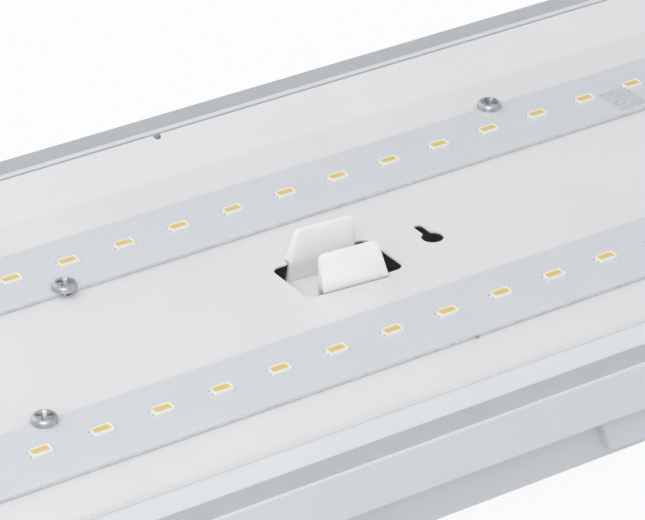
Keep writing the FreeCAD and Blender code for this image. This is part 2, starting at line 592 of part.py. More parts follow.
# Tray clip: a base on the housing boss and two barbed legs that rise through the tray.
# Each leg is straight on one side and tapered on the other; the whole clip is turned on its screw.
def make_clip(label, x, y):
    body = add_body(label)
    base = add_sketch(body, "base_outline", level="Dim.clip_base_height")
    draw_block(base, "0", "0", "Dim.clip_base_length", "(Dim.leg_gap + 2 * Dim.leg_wall)")
    draw_circle(base, "0", "0", SCREW_HOLE)
    add_pad(body, "base", base, "Dim.clip_base_wall")
    legs = add_sketch(body, "leg_section", "YZ_Plane")
    top = "(Dim.floor_level + Dim.leg_rise)"
    for side in (1, -1):
        steps = (("Dim.leg_gap / 2", CLIP_BASE_TOP), ("Dim.leg_gap / 2", top),
                 ("(Dim.leg_gap / 2 + Dim.leg_tip_wall)", top),
                 ("(Dim.opening_width / 2 + Dim.barb_reach)", "Dim.floor_level + Dim.barb_face"),
                 ("(Dim.opening_width / 2 + Dim.barb_reach)", "Dim.floor_level"),
                 ("(Dim.leg_gap / 2 + Dim.leg_wall)", "Dim.floor_level"),
                 ("(Dim.leg_gap / 2 + Dim.leg_wall)", CLIP_BASE_TOP))
        draw_polygon(legs, [(signed(side, step), level) for step, level in steps])
    add_pad(body, "legs", legs, "Dim.leg_foot", both_ways=True)
    for side, name in ((1, "far"), (-1, "near")):
        sides = add_sketch(body, f"{name}_leg_sides", "XZ_Plane")
        tapered = signed(-side, "Dim.leg_foot / 2")
        straight = signed(side, "(Dim.leg_foot / 2 - Dim.leg_straight_cut)")
        draw_polygon(sides, ((tapered, CLIP_BASE_TOP), (tapered, top),
                             (signed(-side, "(Dim.leg_foot / 2 - Dim.leg_taper)"), top)))
        draw_rectangle(sides, straight, CLIP_BASE_TOP, signed(side, "Dim.leg_foot / 2"), top)
        add_pocket(body, f"{name}_leg_shape", sides, "Dim.opening_width", backward=side < 0)
    level = number(top)
    round_edges(body, "leg_corners",
                lambda edge: runs_along(edge, Vector(0, 1, 0)) and at_level(edge, level), "Dim.leg_corner")
    body.setExpression("Placement.Base.x", x)
    body.setExpression("Placement.Base.y", y)
    body.setExpression("Placement.Rotation.Angle", "Dim.clip_turn")
    return body


# LED driver: a closed case and two snap-on end covers with fixing ears.
def make_driver_case():
    body = add_body("driver_case")
    section = add_sketch(body, "section", "YZ_Plane", DRIVER_X)
    draw_rounded(section, "0", f"{TRAY_UNDER} - Dim.driver_height / 2", "Dim.driver_width / 2",
                 "Dim.driver_height / 2", "Dim.driver_corner")
    add_pad(body, "case", section, "Dim.driver_length", both_ways=True)
    vents = add_sketch(body, "vents", level=f"{TRAY_UNDER} - Dim.driver_height")
    count = int(number("Dim.vent_count"))
    for index in range(count):
        draw_block(vents, f"{DRIVER_X} + {index - (count - 1) / 2} * Dim.vent_pitch", "0",
                   "Dim.vent_width", "Dim.vent_length")
    add_pocket(body, "vent_slots", vents, "Dim.vent_depth", backward=True)
    return body


def make_driver_cover(label, end, lanes):
    body = add_body(label)
    inner = f"{DRIVER_X} + {end} * Dim.driver_length / 2"
    outer = f"{DRIVER_X} + {end} * (Dim.driver_length / 2 + Dim.cover_length)"
    tip = f"{DRIVER_X} + {end} * (Dim.driver_length / 2 + Dim.cover_length + Dim.cover_ear)"
    section = add_sketch(body, "section", "YZ_Plane", inner)
    draw_rounded(section, "0", f"{TRAY_UNDER} - Dim.driver_height / 2", "Dim.driver_width / 2 - Dim.cover_step",
                 "Dim.driver_height / 2", "Dim.driver_corner")
    add_pad(body, "cover", section, "Dim.cover_length", backward=end < 0)
    ear = add_sketch(body, "ear_outline", level=f"{TRAY_UNDER} - Dim.cover_ear_wall")
    draw_rectangle(ear, inner, "-Dim.cover_ear_width / 2", tip, "Dim.cover_ear_width / 2")
    add_pad(body, "ear", ear, "Dim.cover_ear_wall")
    hole = add_sketch(body, "ear_hole", level=TRAY_UNDER)
    draw_circle(hole, f"{DRIVER_X} + {end} * {EAR_STEP}", "0", SCREW_HOLE)
    add_pocket(body, "fixing", hole, "Dim.cover_ear_wall")
    bores = add_sketch(body, "wire_bores", "YZ_Plane", outer)
    for lane in lanes:
        draw_circle(bores, lane, WIRE_LEVEL, WIRE_BORE)
    add_pocket(body, "bores", bores, "Dim.cover_bore_depth", backward=end < 0)
    return body


def pole_places():
    count = int(number("Dim.pole_count"))
    return [f"{index - (count - 1) / 2} * Dim.pole_pitch" for index in range(count)]


# Mains terminal block, its clamp screws reached from below.
def make_terminal():
    body = add_body("terminal_block")
    block = add_sketch(body, "block_outline", level=f"{TRAY_UNDER} - Dim.terminal_height")
    draw_block(block, TERMINAL_X, "0", "Dim.terminal_length",
               "(Dim.pole_count * Dim.pole_pitch + 2 * Dim.terminal_margin)")
    add_pad(body, "block", block, "Dim.terminal_height")
    foot = add_sketch(body, "foot_outline", level=f"{TRAY_UNDER} - Dim.terminal_foot_wall")
    draw_block(foot, FOOT_X, "0", "Dim.terminal_foot", "Dim.terminal_foot_width")
    add_pad(body, "foot", foot, "Dim.terminal_foot_wall")
    hole = add_sketch(body, "foot_hole", level=TRAY_UNDER)
    draw_circle(hole, FOOT_X, "0", SCREW_HOLE)
    add_pocket(body, "fixing", hole, "Dim.terminal_foot_wall")
    bores = add_sketch(body, "wire_bores", "YZ_Plane", TERMINAL_X)
    for y in pole_places():
        draw_circle(bores, y, WIRE_LEVEL, WIRE_BORE)
    add_pocket(body, "bores", bores, "2 * Dim.terminal_length", both_ways=True)
    wells = add_sketch(body, "screw_wells", level=f"{TRAY_UNDER} - Dim.terminal_height")
    for y in pole_places():
        for side in (1, -1):
            draw_circle(wells, f"{TERMINAL_X} + {side} * Dim.pole_screw_step", y,
                        "Dim.pole_screw + 2 * Dim.pole_screw_clearance")
    add_pocket(body, "wells", wells, "Dim.pole_screw_sink + Dim.pole_screw_length", backward=True)
    return body


def make_terminal_screws():
    body = add_body("terminal_screws")
    level = f"({TRAY_UNDER} - Dim.terminal_height + Dim.pole_screw_sink)"
    shanks = add_sketch(body, "shanks", level=level)
    slots = add_sketch(body, "slots", level=level)
    for y in pole_places():
        for side in (1, -1):
            x = f"{TERMINAL_X} + {side} * Dim.pole_screw_step"
            draw_circle(shanks, x, y, "Dim.pole_screw")
            draw_block(slots, x, y, "2 * Dim.pole_screw", "Dim.pole_slot")
    add_pad(body, "screws", shanks, "Dim.pole_screw_length")
    add_pocket(body, "driver_slots", slots, "Dim.pole_slot", backward=True)
    return body


# Ring tag that earths the tray.
def make_earth_tag():
    body = add_body("earth_tag")
    level = f"{TRAY_UNDER} - Dim.tag_wall"
    ring = add_sketch(body, "ring_outline", level=level)
    draw_circle(ring, EARTH_X, "0", "Dim.tag_ring")
    add_pad(body, "ring", ring, "Dim.tag_wall")
    tongue = add_sketch(body, "tongue_outline", level=level)
    start = f"{EARTH_X} + Dim.tag_barrel_start"
    draw_rectangle(tongue, EARTH_X, "-Dim.tag_barrel / 4",
                   f"{start} + Dim.tag_barrel_length", "Dim.tag_barrel / 4")
    add_pad(body, "tongue", tongue, "Dim.tag_wall")
    barrel = add_sketch(body, "barrel_outline", "YZ_Plane", start)
    axis = f"{TRAY_UNDER} - Dim.tag_barrel / 2 - Dim.screw_clearance"
    draw_circle(barrel, "0", axis, "Dim.tag_barrel")
    add_pad(body, "barrel", barrel, "Dim.tag_barrel_length")
    bore = add_sketch(body, "barrel_bore", "YZ_Plane", f"{start} + Dim.tag_barrel_length")
    draw_circle(bore, "0", axis, WIRE_BORE)
    add_pocket(body, "crimp", bore, "Dim.tag_barrel_length")
    hole = add_sketch(body, "screw_hole", level=TRAY_UNDER)
    draw_circle(hole, EARTH_X, "0", SCREW_HOLE)
    add_pocket(body, "fixing", hole, "Dim.tag_barrel")
    return body


# Insulated wires: straight runs joined by tangent arcs.
def tube(points, diameter):
    edges = []
    start = points[0]
    for before, corner, after in zip(points, points[1:], points[2:]):
        back = before - corner
        ahead = after - corner
        half_turn = (math.pi - back.getAngle(ahead)) / 2
        trim = 0.45 * min(back.Length, ahead.Length)
        radius = trim / math.tan(half_turn)
        back.normalize()
        ahead.normalize()
        bisector = (back + ahead).normalize()
        middle = corner + bisector * (radius / math.cos(half_turn) - radius)
        edges.append(Part.LineSegment(start, corner + back * trim).toShape())
        edges.append(Part.Arc(corner + back * trim, middle, corner + ahead * trim).toShape())
        start = corner + ahead * trim
    edges.append(Part.LineSegment(start, points[-1]).toShape())
    path = Part.Wire(edges)
    direction = points[1] - points[0]
    section = Part.Wire(Part.makeCircle(diameter / 2, points[0], direction))
    pipe = path.makePipeShell([section], True, False)
    if abs(pipe.Volume / (path.Length * math.pi * diameter ** 2 / 4) - 1) > 0.01:
        raise RuntimeError("a wire's volume is not its section times its length")
    return pipe


def make_wires(label, routes):
    wires = doc.addObject("Part::Feature", label)
    wires.Label = label
    diameter = number("Dim.wire_size")
    tubes = [tube([Vector(*(number(value) for value in point)) for point in route], diameter)
             for route in routes]
    wires.Shape = tubes[0] if len(tubes) == 1 else Part.makeCompound(tubes)
    return wires


TERMINAL_FACE = f"({TERMINAL_X} - Dim.terminal_length / 2)"
MAINS_LANES = ("-Dim.mains_lane", "-(Dim.mains_lane - Dim.led_lane)")


def mains_route(lane, pole):
    start = f"{DRIVER_X} + Dim.driver_length / 2 + Dim.cover_length - 0.8 * Dim.cover_bore_depth"
    return ((start, lane, WIRE_LEVEL), (f"{TERMINAL_FACE} - 5 * Dim.pole_pitch", lane, WIRE_LEVEL),
            (f"{TERMINAL_FACE} - 1.5 * Dim.pole_pitch", pole, WIRE_LEVEL),
            (f"{TERMINAL_FACE} + Dim.terminal_length / 4", pole, WIRE_LEVEL))


def earth_route(pole):
    crimp = f"{EARTH_X} + Dim.tag_barrel_start + Dim.tag_barrel_length"
    axis = f"{TRAY_UNDER} - Dim.tag_barrel / 2 - Dim.screw_clearance"
    return ((f"{crimp} - 0.8 * Dim.tag_barrel_length", "0", axis), (f"{crimp} + Dim.wire_size", "0", axis),
            (f"{TERMINAL_FACE} - 2 * Dim.wire_size", pole, WIRE_LEVEL),
            (f"{TERMINAL_FACE} + Dim.terminal_length / 4", pole, WIRE_LEVEL))


# From the driver along the tray, up through the wire hole and into the board connector.
def led_route(side, lane, pole, sag):
    y = signed(side, f"{lane} * Dim.led_lane")
    x = f"-{CONNECTOR_X} + {pole} * Dim.connector_gap / 2"
    entry = f"{BOARD_TOP} + Dim.connector_height / 2"
    return ((f"{DRIVER_FACE} + 0.8 * Dim.cover_bore_depth", y, WIRE_LEVEL),
            (f"{DRIVER_FACE} - {0.1 + 0.1 * lane:.1f} * {LED_SPAN}", y, WIRE_LEVEL),
            (x, signed(side, f"({BOARD_INNER} - 2.1 * Dim.wire_hole_inset)"),
             f"{WIRE_LEVEL} - {sag} * Dim.wire_size"),
            (x, signed(side, f"({CONNECTOR_FACE} - Dim.wire_hole_inset / 2)"), entry),
            (x, signed(side, f"({CONNECTOR_FACE} + 0.6 * Dim.connector_bore_depth)"), entry))


# Cable entries: a pierced rubber grommet on the right, a blank plug on the left.
def make_entry_seal(label, end, pierced):
    body = add_body(label)
    backward = end < 0

    def disc(name, level, diameter, thickness):
        sketch = add_sketch(body, f"{name}_outline", "YZ_Plane", signed(end, level))
        draw_circle(sketch, "0", "Dim.entry_height", diameter)
        return add_pad(body, name, sketch, thickness, backward=backward)

    disc("inner_flange", f"({ENTRY_X} - Dim.entry_face - Dim.grommet_lip)", "Dim.grommet_flange",
         "Dim.grommet_lip")
    disc("neck", f"({ENTRY_X} - Dim.entry_face)", "Dim.entry_hole - 2 * Dim.grommet_clearance",
         "Dim.entry_face")
    disc("outer_flange", ENTRY_X, "Dim.grommet_flange", "Dim.grommet_lip")
    nose = disc("nose", f"({ENTRY_X} + Dim.grommet_lip)", "Dim.grommet_nose", "Dim.grommet_nose_length")
    nose.setExpression("TaperAngle", "-Dim.grommet_nose_taper")
    if pierced:
        bore = add_sketch(body, "bore_outline", "YZ_Plane", signed(end, HALF_LENGTH))
        draw_circle(bore, "0", "Dim.entry_height", "Dim.grommet_bore")
        add_pocket(body, "bore", bore, "2 * (Dim.entry_overhang + Dim.entry_face)", backward=end < 0)
    return body


poles = pole_places()
nodes = [
    make_housing(),
    make_gasket(),
    make_tray(),
    make_board("led_board_far", 1),
    make_board("led_board_near", -1),
    make_packages("led_packages_far", 1),
    make_packages("led_packages_near", -1),
    make_phosphor("led_phosphor_far", 1),
    make_phosphor("led_phosphor_near", -1),
    make_connectors(),
    make_screws("board_screws", board_screw_places(1) + board_screw_places(-1), BOARD_TOP,
                "Dim.tray_screw_length"),
    make_clip("tray_clip_right", *CLIP_PLACES[0]),
    make_clip("tray_clip_left", *CLIP_PLACES[1]),
    make_screws("clip_screws", CLIP_PLACES, CLIP_BASE_TOP, "Dim.clip_screw_length"),
    make_driver_case(),
    make_driver_cover("driver_cover_mains", 1, MAINS_LANES),
    make_driver_cover("driver_cover_led", -1, [f"{lane} * Dim.led_lane" for lane in (-2, -1, 1, 2)]),
    make_screws("driver_screws", DRIVER_SCREWS, "Dim.floor_level", "Dim.tray_screw_length"),
    make_terminal(),
    make_terminal_screws(),
    make_screws("terminal_fixing_screw", [(FOOT_X, "0")], "Dim.floor_level", "Dim.tray_screw_length"),
    make_earth_tag(),
    make_screws("earth_screw", [(EARTH_X, "0")], "Dim.floor_level", "Dim.tray_screw_length"),
    make_wires("live_wire", [mains_route(MAINS_LANES[1], poles[-1])]),
    make_wires("neutral_wire", [mains_route(MAINS_LANES[0], poles[0])]),
    make_wires("earth_wire", [earth_route(poles[len(poles) // 2])]),
    make_wires("led_wires_plus", [led_route(side, 2, 1, 0) for side in (1, -1)]),
    make_wires("led_wires_minus", [led_route(side, 1, -1, 1.5) for side in (1, -1)]),
    make_entry_seal("cable_grommet", 1, True),
    make_entry_seal("blanking_plug", -1, False),
]

doc.recompute()
for item in doc.Objects:
    if "Invalid" in item.State or "Error" in item.State:
        raise RuntimeError(f"{item.Label} failed: {item.State}")
for node in nodes:
    if node.Shape.isNull() or not node.Shape.isValid():
        raise RuntimeError(f"{node.Label} has no valid shape")
for node in nodes:
    node.Shape.exportStep(f"parts/{node.Label}.step")
    print(f"{node.Label}: {len(node.Shape.Solids)} solids, {node.Shape.Volume:.0f} mm3")
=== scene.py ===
import json
import math
import random
import bmesh
import bpy
import mathutils
from mathutils import Matrix, Vector


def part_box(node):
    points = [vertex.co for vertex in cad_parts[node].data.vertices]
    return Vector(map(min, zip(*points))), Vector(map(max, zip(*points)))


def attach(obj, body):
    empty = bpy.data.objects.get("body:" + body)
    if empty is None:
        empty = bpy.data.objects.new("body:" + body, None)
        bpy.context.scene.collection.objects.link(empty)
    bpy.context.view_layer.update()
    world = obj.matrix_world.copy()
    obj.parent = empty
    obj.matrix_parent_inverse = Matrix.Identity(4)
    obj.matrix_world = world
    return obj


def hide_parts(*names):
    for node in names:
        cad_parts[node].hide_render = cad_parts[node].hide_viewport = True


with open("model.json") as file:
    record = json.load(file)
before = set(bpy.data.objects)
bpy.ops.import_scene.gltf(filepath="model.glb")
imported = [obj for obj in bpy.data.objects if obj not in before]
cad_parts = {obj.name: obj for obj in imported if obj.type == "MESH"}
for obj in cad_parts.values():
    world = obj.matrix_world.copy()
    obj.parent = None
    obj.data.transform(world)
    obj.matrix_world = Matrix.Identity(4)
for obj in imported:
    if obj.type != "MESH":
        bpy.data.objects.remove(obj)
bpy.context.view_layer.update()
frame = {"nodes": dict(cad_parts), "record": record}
nodes = frame["nodes"]
mm = 0.001  # sizes are in millimetres, unless a note says otherwise
cornerSigns = ((1, -1), (1, 1), (-1, 1), (-1, -1))  # corners of a rectangle, in turn
print("frame loaded:", len(nodes), "pieces")


# Where the frame puts the small repeated pieces
solidWeld = 0.001
ledRows = ("led_packages_far", "led_packages_near")


def solidBoxes(node):  # box of each separate solid of a node, left to right
    shape = bmesh.new()
    shape.from_mesh(nodes[node].data)
    bmesh.ops.remove_doubles(shape, verts=shape.verts, dist=solidWeld * mm)
    shape.verts.ensure_lookup_table()
    seen = set()
    boxes = []
    for start in shape.verts:
        if start.index in seen:
            continue
        seen.add(start.index)
        stack = [start]
        corners = []
        while stack:
            vert = stack.pop()
            corners.append(vert.co.copy())
            for edge in vert.link_edges:
                other = edge.other_vert(vert)
                if other.index not in seen:
                    seen.add(other.index)
                    stack.append(other)
        low = Vector([min(corner[axis] for corner in corners) for axis in range(3)])
        high = Vector([max(corner[axis] for corner in corners) for axis in range(3)])
        boxes.append((low, high))
    shape.free()
    return sorted(boxes, key=lambda box: (round(box[0].x, 5), box[0].y))


def footMiddle(box):  # middle of a box's underside
    low, high = box
    return Vector(((low.x + high.x) / 2, (low.y + high.y) / 2, low.z))


ledPlaces = {row: [footMiddle(box) for box in solidBoxes(row)] for row in ledRows}
firstLed, secondLed = ledPlaces["led_packages_far"][:2]
ledPitch = secondLed.x - firstLed.x
boardLow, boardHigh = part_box("led_board_far")
boardReach = (boardHigh.y - boardLow.y) / 2
print("LEDs per board:", len(ledPlaces["led_packages_far"]), "pitch", round(ledPitch / mm, 2))


# Shader helpers

def addNode(tree, kind, **settings):
    node = tree.nodes.new(kind)
    for name, value in settings.items():
        setattr(node, name, value)
    return node


def link(tree, source, target):
    tree.links.new(source, target)


def mathNode(tree, operation, first, second=None):
    node = addNode(tree, "ShaderNodeMath", operation=operation)
    for index, value in enumerate((first, second)):
        if isinstance(value, (int, float)):
            node.inputs[index].default_value = value
        elif value is not None:
            link(tree, value, node.inputs[index])
    return node.outputs[0]


def blendOf(tree, first, second, share):  # a share of the first, the rest of the second
    some = mathNode(tree, "MULTIPLY", first, share)
    rest = mathNode(tree, "MULTIPLY", second, 1.0 - share)
    return mathNode(tree, "ADD", some, rest)


def remap(tree, value, low, high, toLow=0.0, toHigh=1.0):
    node = addNode(tree, "ShaderNodeMapRange", interpolation_type="SMOOTHSTEP")
    link(tree, value, node.inputs["Value"])
    for name, number in (("From Min", low), ("From Max", high), ("To Min", toLow), ("To Max", toHigh)):
        node.inputs[name].default_value = number
    return node.outputs["Result"]


def softStep(tree, value, level, soft):  # 0 below the level, 1 above it
    return remap(tree, value, (level - soft) * mm, (level + soft) * mm)


def mixColour(tree, mask, first, second):
    node = addNode(tree, "ShaderNodeMix", data_type="RGBA")
    link(tree, mask, node.inputs["Factor"])
    for socket, colour in ((node.inputs["A"], first), (node.inputs["B"], second)):
        if isinstance(colour, tuple):
            socket.default_value = (*colour, 1.0)
        else:
            link(tree, colour, socket)
    return node.outputs["Result"]


def noise(tree, place, size, detail=2.0, roughness=0.5):
    node = addNode(tree, "ShaderNodeTexNoise", noise_dimensions="3D")
    link(tree, place, node.inputs["Vector"])
    node.inputs["Scale"].default_value = 1.0 / (size * mm)
    node.inputs["Detail"].default_value = detail
    node.inputs["Roughness"].default_value = roughness
    return node.outputs["Fac"]


def objectPlace(tree):
    return addNode(tree, "ShaderNodeTexCoord").outputs["Object"]


def surfaceNormal(tree):
    return addNode(tree, "ShaderNodeNewGeometry").outputs["Normal"]


def splitAxes(tree, vector):
    node = addNode(tree, "ShaderNodeSeparateXYZ")
    link(tree, vector, node.inputs[0])
    return node.outputs


def newMaterial(name):
    material = bpy.data.materials.new(name)
    material.use_nodes = True
    tree = material.node_tree
    return material, tree, tree.nodes["Principled BSDF"]


def bumpFrom(tree, shader, height, depth):
    bump = addNode(tree, "ShaderNodeBump")
    bump.inputs["Distance"].default_value = depth * mm
    link(tree, height, bump.inputs["Height"])
    link(tree, bump.outputs["Normal"], shader.inputs["Normal"])


# One skin for everything moulded or coated: a fine grain over a slow mottle
skinTone = {"grainDetail": 2.0, "mottleDetail": 3.0, "mottleSpan": (0.32, 0.68), "roughSpan": (0.35, 0.65),
            "grainShare": 0.5, "gloss": 0.5}


def makeSkinGroup(tone):
    group = bpy.data.node_groups.new("mouldSkin", "ShaderNodeTree")
    for name in ("Grain Size", "Mottle Size", "Rough Low", "Rough High"):
        group.interface.new_socket(name=name, in_out="INPUT", socket_type="NodeSocketFloat")
    for name in ("Mottle", "Rough", "Height"):
        group.interface.new_socket(name=name, in_out="OUTPUT", socket_type="NodeSocketFloat")
    given = addNode(group, "NodeGroupInput").outputs
    result = addNode(group, "NodeGroupOutput").inputs
    place = objectPlace(group)
    fields = []
    for size, detail in (("Grain Size", tone["grainDetail"]), ("Mottle Size", tone["mottleDetail"])):
        field = addNode(group, "ShaderNodeTexNoise", noise_dimensions="3D")
        link(group, place, field.inputs["Vector"])
        link(group, mathNode(group, "DIVIDE", 1.0 / mm, given[size]), field.inputs["Scale"])
        field.inputs["Detail"].default_value = detail
        fields.append(field.outputs["Fac"])
    grain, mottle = fields
    rough = addNode(group, "ShaderNodeMapRange")
    link(group, blendOf(group, grain, mottle, tone["grainShare"]), rough.inputs["Value"])
    for name, number in zip(("From Min", "From Max"), tone["roughSpan"]):
        rough.inputs[name].default_value = number
    link(group, given["Rough Low"], rough.inputs["To Min"])
    link(group, given["Rough High"], rough.inputs["To Max"])
    link(group, remap(group, mottle, *tone["mottleSpan"]), result["Mottle"])
    link(group, rough.outputs["Result"], result["Rough"])
    link(group, grain, result["Height"])
    return group


mouldSkin = makeSkinGroup(skinTone)


def addSkin(tree, look):
    skin = addNode(tree, "ShaderNodeGroup", node_tree=mouldSkin)
    skin.inputs["Grain Size"].default_value = look["grain"]
    skin.inputs["Mottle Size"].default_value = look["mottle"]
    skin.inputs["Rough Low"].default_value = look["rough"][0]
    skin.inputs["Rough High"].default_value = look["rough"][1]
    return skin.outputs


def skinMaterial(name, look):
    material, tree, shader = newMaterial(name)
    skin = addSkin(tree, look)
    link(tree, mixColour(tree, skin["Mottle"], look["dark"], look["light"]), shader.inputs["Base Color"])
    link(tree, skin["Rough"], shader.inputs["Roughness"])
    shader.inputs["Specular IOR Level"].default_value = look.get("gloss", skinTone["gloss"])
    bumpFrom(tree, shader, skin["Height"], look["relief"])
    return material


mouldedLooks = {
    "housing_plastic": {"dark": (0.724, 0.759, 0.791), "light": (0.744, 0.777, 0.806), "grain": 0.35,
                        "mottle": 26.0, "rough": (0.40, 0.52), "relief": 0.010, "gloss": 0.45},
    "tray_paint": {"dark": (0.800, 0.800, 0.812), "light": (0.818, 0.817, 0.826), "grain": 0.9,
                   "mottle": 40.0, "rough": (0.38, 0.48), "relief": 0.012},
    "led_case": {"dark": (0.90, 0.885, 0.83), "light": (0.93, 0.915, 0.865), "grain": 0.12,
                 "mottle": 1.5, "rough": (0.30, 0.42), "relief": 0.004},
    "connector_plastic": {"dark": (0.80, 0.80, 0.775), "light": (0.84, 0.84, 0.815), "grain": 0.2,
                          "mottle": 6.0, "rough": (0.30, 0.42), "relief": 0.005},
    "driver_plastic": {"dark": (0.74, 0.74, 0.725), "light": (0.78, 0.78, 0.765), "grain": 0.4,
                       "mottle": 18.0, "rough": (0.45, 0.60), "relief": 0.014},
    "cover_plastic": {"dark": (0.67, 0.68, 0.68), "light": (0.71, 0.72, 0.72), "grain": 0.4,
                      "mottle": 14.0, "rough": (0.45, 0.60), "relief": 0.014},
    "terminal_plastic": {"dark": (0.72, 0.72, 0.70), "light": (0.77, 0.77, 0.745), "grain": 0.25,
                         "mottle": 8.0, "rough": (0.35, 0.48), "relief": 0.008},
    "entry_rubber": {"dark": (0.30, 0.315, 0.325), "light": (0.345, 0.36, 0.37), "grain": 0.3,
                     "mottle": 7.0, "rough": (0.62, 0.80), "relief": 0.015, "gloss": 0.3},
}

materials = {slot: skinMaterial(slot, look) for slot, look in mouldedLooks.items()}


# Nylon of the clips: a little light goes into it
clipLook = {"dark": (0.865, 0.87, 0.875), "light": (0.895, 0.90, 0.905), "grain": 0.3, "mottle": 9.0,
            "rough": (0.36, 0.48), "relief": 0.008, "depth": 3.0}


def makeClipMaterial(look):
    material = skinMaterial("clip_plastic", look)
    shader = material.node_tree.nodes["Principled BSDF"]
    shader.inputs["Subsurface Weight"].default_value = 1.0
    shader.inputs["Subsurface Radius"].default_value = (look["depth"] * mm,) * 3
    shader.inputs["Subsurface Scale"].default_value = 1.0
    return material


materials["clip_plastic"] = makeClipMaterial(clipLook)


# Boards: white solder mask over copper, whose pour shows as a faint step; the sawn sides are bare laminate,
# darker in a band of painted contact shade along their foot
boardLook = {
    "mask": {"dark": (0.695, 0.728, 0.768), "light": (0.712, 0.744, 0.782), "grain": 0.5, "mottle": 14.0,
             "rough": (0.30, 0.42), "relief": 0.006},
    "copper": {"tint": (0.690, 0.722, 0.762), "cover": 0.7, "rise": 0.012, "split": 0.7, "margin": 1.2,
               "busStep": 8.6, "busGap": 0.5, "soft": 0.1},
    # sawn foot: painted contact shade, the colour of a ragged band along the bottom of the sides
    "sawn": {"face": (0.685, 0.705, 0.73), "foot": (0.56, 0.575, 0.59), "footShadeRise": (0.3, 0.8), "ragged": 1.6,
             "ragSize": 3.0, "ragDetail": 3.0, "upright": 0.5},
    "hatch": {"ink": (0.47, 0.50, 0.53), "cover": 0.8, "middle": (199.0, 31.6), "half": (5.0, 5.8),
              "soft": 0.3, "pitch": 1.3, "barSpan": (-0.8, 0.8), "barLow": 0.5, "wear": 1.0,
              "wearSpan": (0.4, 0.6), "wearLow": 0.3},
}


def copperPour(tree, axes, copper):  # 1 over the copper, 0 in the gaps between its fields
    soft = copper["soft"]
    along = mathNode(tree, "SUBTRACT", axes["X"], firstLed.x)
    along = mathNode(tree, "PINGPONG", along, ledPitch / 2)  # distance to the nearest LED
    across = mathNode(tree, "SUBTRACT", mathNode(tree, "ABSOLUTE", axes["Y"]), firstLed.y)
    across = mathNode(tree, "ABSOLUTE", across)  # distance to the row of LEDs
    offBus = mathNode(tree, "ABSOLUTE", mathNode(tree, "SUBTRACT", across, copper["busStep"] * mm))
    inPour = softStep(tree, along, copper["split"] / 2, soft)
    inBus = softStep(tree, across, copper["busStep"] + soft, soft)
    offGap = softStep(tree, offBus, copper["busGap"] / 2, soft)
    pastEdge = softStep(tree, across, boardReach / mm - copper["margin"], soft)
    pour = mathNode(tree, "MULTIPLY", mathNode(tree, "MAXIMUM", inPour, inBus), offGap)
    return mathNode(tree, "MULTIPLY", pour, mathNode(tree, "SUBTRACT", 1.0, pastEdge))


def hatchMask(tree, place, axes, hatch):  # plain hatched patch printed on the far board
    mask = hatch["cover"]
    for axis, middle, half in zip(("X", "Y"), hatch["middle"], hatch["half"]):
        offset = mathNode(tree, "ABSOLUTE", mathNode(tree, "SUBTRACT", axes[axis], middle * mm))
        inside = remap(tree, offset, (half - hatch["soft"]) * mm, half * mm, 1.0, 0.0)
        mask = mathNode(tree, "MULTIPLY", inside, mask)
    turns = mathNode(tree, "MULTIPLY", axes["X"], 2 * math.pi / (hatch["pitch"] * mm))
    bars = remap(tree, mathNode(tree, "SINE", turns), *hatch["barSpan"], hatch["barLow"], 1.0)
    worn = remap(tree, noise(tree, place, hatch["wear"]), *hatch["wearSpan"], hatch["wearLow"], 1.0)
    return mathNode(tree, "MULTIPLY", mask, mathNode(tree, "MULTIPLY", bars, worn))


def sawnColourWithFootShade(tree, place, axes, sawn):  # painted contact shade: a ragged band along the foot is darker, where the board sits on the tray
    ragged = mathNode(tree, "SUBTRACT", noise(tree, place, sawn["ragSize"], sawn["ragDetail"]), 0.5)
    ragged = mathNode(tree, "MULTIPLY", ragged, sawn["ragged"] * mm)
    level = mathNode(tree, "ADD", axes["Z"], ragged)
    rise = remap(tree, level, *(boardLow.z + height * mm for height in sawn["footShadeRise"]))
    return mixColour(tree, rise, sawn["foot"], sawn["face"])


def makeBoardMaterial(look):
    material, tree, shader = newMaterial("board_mask")
    mask, copper, sawn, hatch = (look[part] for part in ("mask", "copper", "sawn", "hatch"))
    place = objectPlace(tree)
    axes = splitAxes(tree, place)
    skin = addSkin(tree, mask)
    pour = copperPour(tree, axes, copper)
    colour = mixColour(tree, skin["Mottle"], mask["dark"], mask["light"])
    colour = mixColour(tree, mathNode(tree, "MULTIPLY", pour, copper["cover"]), colour, copper["tint"])
    colour = mixColour(tree, hatchMask(tree, place, axes, hatch), colour, hatch["ink"])
    lean = mathNode(tree, "ABSOLUTE", splitAxes(tree, surfaceNormal(tree))["Z"])
    side = mathNode(tree, "LESS_THAN", lean, sawn["upright"])
    # the sawn sides, with their painted foot shade
    colour = mixColour(tree, side, colour, sawnColourWithFootShade(tree, place, axes, sawn))
    link(tree, colour, shader.inputs["Base Color"])
    link(tree, skin["Rough"], shader.inputs["Roughness"])
    grain = mathNode(tree, "MULTIPLY", skin["Height"], mask["relief"] / copper["rise"])
    bumpFrom(tree, shader, mathNode(tree, "ADD", grain, pour), copper["rise"])
    return material


materials["board_mask"] = makeBoardMaterial(boardLook)


# Amber phosphor silicone: deeper over the chip
phosphorLook = {"rim": (0.90, 0.82, 0.56), "core": (0.78, 0.60, 0.24), "speckle": 0.10, "speckShare": 0.5,
                "speckSpan": (0.3, 0.7), "rough": (0.28, 0.42), "relief": 0.006}


